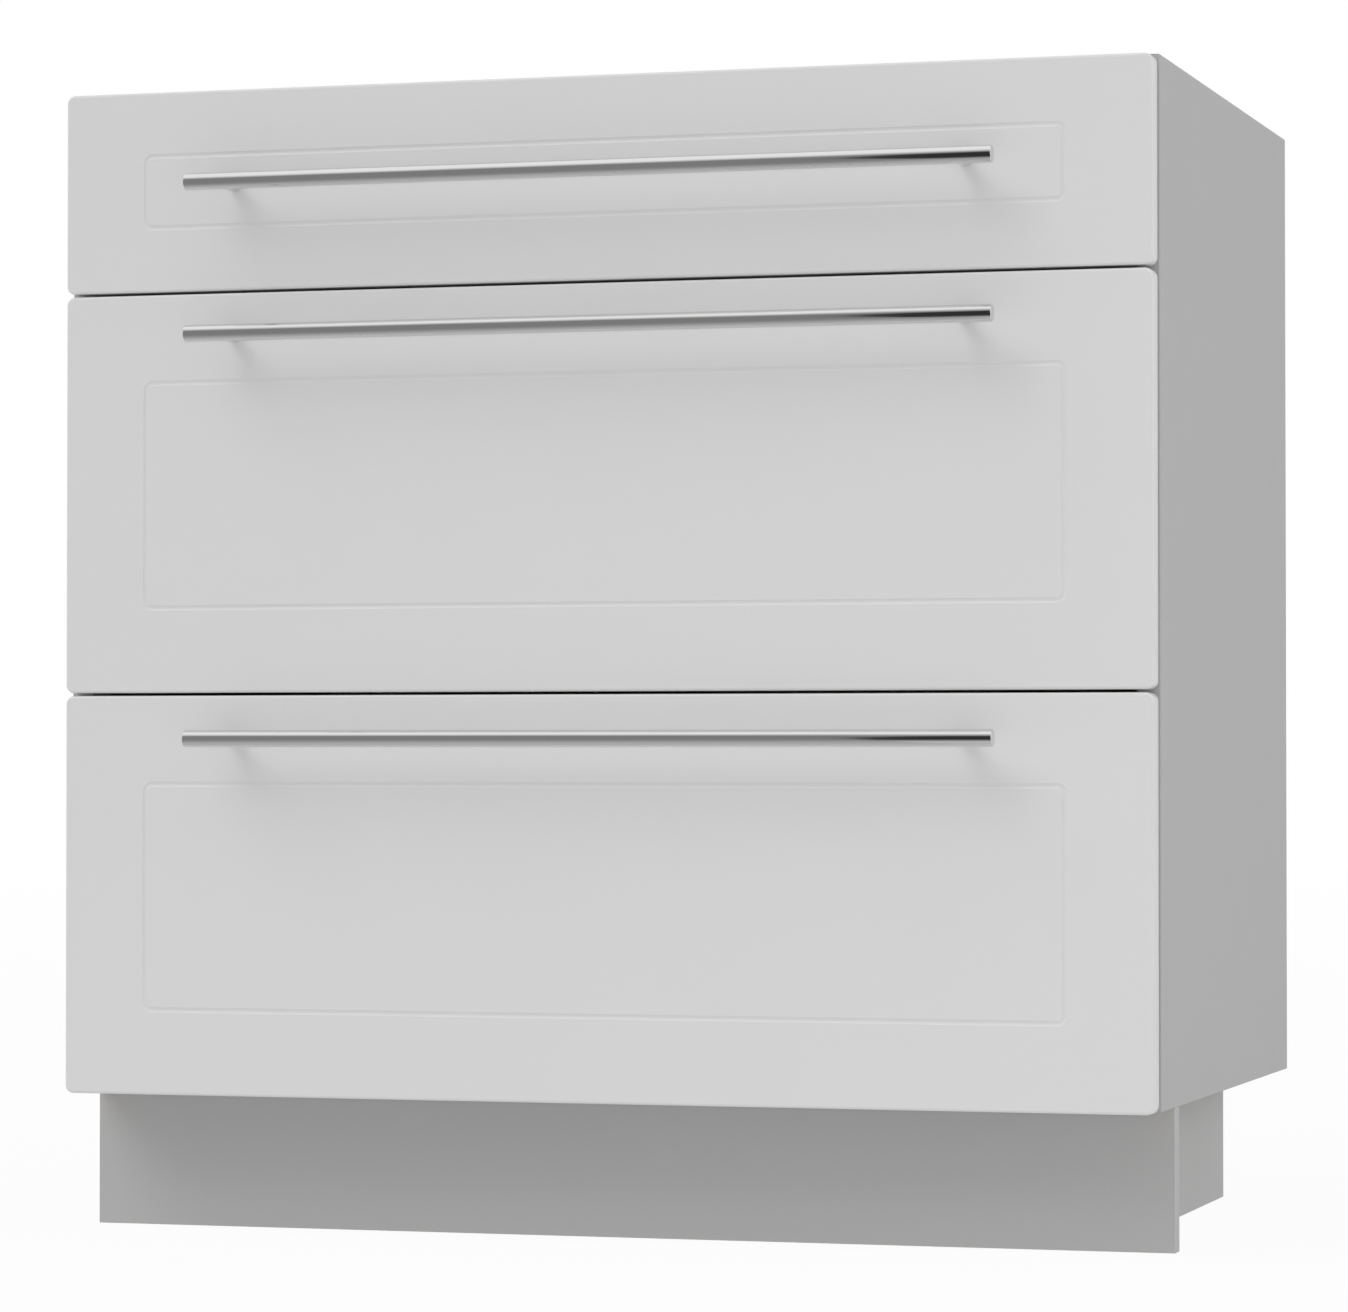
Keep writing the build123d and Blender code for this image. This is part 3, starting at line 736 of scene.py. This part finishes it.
view = {
    "place": (1.0627, -3.5842, 0.3429),
    "turn": 16.695,                 # degrees to the left of straight ahead
    "tilt": 1.123,                  # degrees up
    "lens": 134.07,
    "sensor": 36.0,
    "clipEnd": 200.0,
}
studio = {
    "floorSize": 40.0,
    "floorZ": -0.2 * mm,            # just under the plinth
    "floorColour": (0.6, 0.6, 0.6, 1),
    "floorWhite": 0.95,             # share of plain white that the camera sees on the floor
    "floorGlow": (0.64, 0.42),      # and that the object is lit by, close by and far off
    "floorPool": (0.7, 4.0),        # radii between which the one fades to the other
    "floorFade": (1.0, 12.0),       # radii between which the camera's share rises to the whole
    "sky": (0.30, 0.92),            # the world's strength at the horizon and overhead
    "keyStrength": 1.22,
    "keyAzimuth": 48.0,             # degrees to the left of straight in front
    "keyElevation": 50.0,
    "keySoftness": 40.0,            # degrees across
    "front": {"power": 18.5, "place": view["place"], "target": (0.0, -0.24, 0.42),
              "width": 0.25, "height": 0.25},
    "side": {"power": 24.8, "place": (2.85, -0.45, 0.6), "target": (0.4, 0.0, 0.45),
             "width": 1.2, "height": 3.0},
}


def sheet(name, corners, material):
    # A flat four-sided sheet of the studio, lit or seen only as its material says.
    mesh = bpy.data.meshes.new(name)
    mesh.from_pydata(corners, [], [(0, 1, 2, 3)])
    piece = bpy.data.objects.new(name, mesh)
    bpy.context.scene.collection.objects.link(piece)
    mesh.materials.append(material)
    return piece


def stageMaterial(name):
    material = bpy.data.materials.new(name)
    material.use_nodes = True
    tree = material.node_tree
    tree.nodes.clear()
    return material, tree, addNode(tree, "ShaderNodeOutputMaterial").inputs["Surface"]


def showsWhite(tree):
    # 1 for what the camera sees, straight or by way of metal and glass; 0 for light on the object
    path = addNode(tree, "ShaderNodeLightPath").outputs
    seen = calc(tree, "MAXIMUM", path["Is Camera Ray"],
                calc(tree, "MAXIMUM", path["Is Glossy Ray"], path["Is Transmission Ray"]))
    return calc(tree, "MULTIPLY", seen, calc(tree, "LESS_THAN", path["Diffuse Depth"], 0.5))


def floorFinish():
    material, tree, surface = stageMaterial("paleFloor")
    matt = addNode(tree, "ShaderNodeBsdfDiffuse")
    matt.inputs["Color"].default_value = studio["floorColour"]
    glow = addNode(tree, "ShaderNodeEmission")
    mix = addNode(tree, "ShaderNodeMixShader")
    place = addNode(tree, "ShaderNodeTexCoord").outputs["Object"]
    radius = addNode(tree, "ShaderNodeVectorMath", operation="LENGTH")
    feed(tree, radius.inputs[0], place)
    pool = remap(tree, radius.outputs["Value"], *studio["floorPool"], *studio["floorGlow"])
    seen = remap(tree, radius.outputs["Value"], *studio["floorFade"], studio["floorWhite"], 1.0)
    feed(tree, mix.inputs[0], blendValues(tree, showsWhite(tree), pool, seen))
    feed(tree, mix.inputs[1], matt.outputs[0])
    feed(tree, mix.inputs[2], glow.outputs[0])
    feed(tree, surface, mix.outputs[0])
    return material


def buildSky():
    world = bpy.data.worlds.new("paleStudio")
    world.use_nodes = True
    tree = world.node_tree
    tree.nodes.clear()
    background = addNode(tree, "ShaderNodeBackground")
    background.inputs["Color"].default_value = (1, 1, 1, 1)
    up = addNode(tree, "ShaderNodeSeparateXYZ")
    feed(tree, up.inputs[0], addNode(tree, "ShaderNodeTexCoord").outputs["Generated"])
    sky = remap(tree, up.outputs["Z"], 0.0, 1.0, *studio["sky"])
    feed(tree, background.inputs["Strength"], blendValues(tree, showsWhite(tree), sky, 1.0))
    feed(tree, addNode(tree, "ShaderNodeOutputWorld").inputs["Surface"], background.outputs[0])
    bpy.context.scene.world = world


def lamp(name, kind, energy):
    data = bpy.data.lights.new(name, kind)
    data.energy = energy
    piece = bpy.data.objects.new(name, data)
    bpy.context.scene.collection.objects.link(piece)
    piece.visible_camera = False
    piece.visible_glossy = False        # the steel mirrors the white room and the flags instead
    return piece


half = studio["floorSize"] / 2
around = ((-half, -half), (half, -half), (half, half), (-half, half))
sheet("studioFloor", [(x, y, studio["floorZ"]) for x, y in around], floorFinish())
buildSky()

key = lamp("keyLight", "SUN", studio["keyStrength"])
key.data.angle = math.radians(studio["keySoftness"])
key.rotation_euler = (math.radians(90 - studio["keyElevation"]), 0,
                      math.radians(-studio["keyAzimuth"]))
for name in ("front", "side"):
    look = studio[name]
    panel = lamp(f"{name}Light", "AREA", look["power"])
    panel.data.shape = "RECTANGLE"
    panel.data.size = look["width"]
    panel.data.size_y = look["height"]
    panel.location = look["place"]
    aim = Vector(look["target"]) - panel.location
    panel.rotation_euler = aim.to_track_quat("-Z", "Y").to_euler()

# Flags: cards that only mirror-like reflections see. They give the round bars their grey band,
# their dark right-hand end and their grey lower half. A card's level follows the angle at which a
# bar sees it: level = steepness x (angle - start), kept between its own least and most.
flags = {
    "distance": 6.0,                # the upright cards, in front of the cabinet's middle
    "height": 12.0,
    "reach": 12.0,
    "bar": (0.197, -0.27, 0.5),     # place on the bars whose reflection meets the dark card's edge
    "edgeTurn": 14.64,              # degrees to the left of straight ahead, from there to that edge
    "floorNear": 0.18,
    "floorZ": 1.0 * mm,
    "greyFlag": {"start": 18.0, "steepness": 0.0232, "least": 0.25, "most": 1.0},
    "darkFlag": {"start": 18.0, "steepness": 0.0232, "least": 0.033, "most": 1.0},
    "greyFloorFlag": {"start": -28.0, "steepness": 0.0049, "least": 0.25, "most": 0.52},
    "darkFloorFlag": {"start": 22.0, "steepness": 0.0158, "least": 0.033, "most": 0.58},
}


def flagFinish(name):
    look = flags[name]
    material, tree, surface = stageMaterial(name)
    place = addNode(tree, "ShaderNodeSeparateXYZ")
    feed(tree, place.inputs[0], addNode(tree, "ShaderNodeTexCoord").outputs["Object"])
    rise = calc(tree, "ABSOLUTE", calc(tree, "SUBTRACT", place.outputs["Z"], flags["bar"][2]))
    away = calc(tree, "SUBTRACT", flags["bar"][1], place.outputs["Y"])
    angle = calc(tree, "DEGREES", calc(tree, "ARCTAN2", rise, away))
    level = calc(tree, "MULTIPLY", calc(tree, "SUBTRACT", angle, look["start"]), look["steepness"])
    glow = addNode(tree, "ShaderNodeEmission")
    glow.inputs["Color"].default_value = (1, 1, 1, 1)
    feed(tree, glow.inputs["Strength"],
         calc(tree, "MINIMUM", calc(tree, "MAXIMUM", level, look["least"]), look["most"]))
    mix = addNode(tree, "ShaderNodeMixShader")      # clear for light that the steel passes on
    feed(tree, mix.inputs[0], addNode(tree, "ShaderNodeLightPath").outputs["Diffuse Depth"])
    feed(tree, mix.inputs[1], glow.outputs[0])
    feed(tree, mix.inputs[2], addNode(tree, "ShaderNodeBsdfTransparent").outputs[0])
    feed(tree, surface, mix.outputs[0])
    return material


def flag(name, corners):
    card = sheet(name, corners, flagFinish(name))
    card.visible_camera = False
    card.visible_diffuse = False
    card.visible_shadow = False
    card.visible_transmission = False
    card.visible_volume_scatter = False


def edgeX(y):
    # x of the line from the bar to the dark card's edge
    return flags["bar"][0] - (flags["bar"][1] - y) * math.tan(math.radians(flags["edgeTurn"]))


far = -flags["distance"]
near = -flags["floorNear"]
top = flags["height"]
low = flags["floorZ"]
for tone, end in (("grey", -flags["reach"]), ("dark", flags["reach"])):
    flag(f"{tone}Flag",
         [(end, far, low), (edgeX(far), far, low), (edgeX(far), far, top), (end, far, top)])
    flag(f"{tone}FloorFlag",
         [(end, far, low), (edgeX(far), far, low), (edgeX(near), near, low), (end, near, low)])
print("studio: floor, sky, three lamps and four flags")


cameraData = bpy.data.cameras.new("photoCamera")
cameraData.lens = view["lens"]
cameraData.sensor_width = view["sensor"]
cameraData.clip_end = view["clipEnd"]
camera = bpy.data.objects.new("photoCamera", cameraData)
bpy.context.scene.collection.objects.link(camera)
camera.location = view["place"]
camera.rotation_euler = (math.radians(90 + view["tilt"]), 0, math.radians(view["turn"]))
bpy.context.scene.camera = camera
bpy.context.scene.view_settings.view_transform = "Standard"
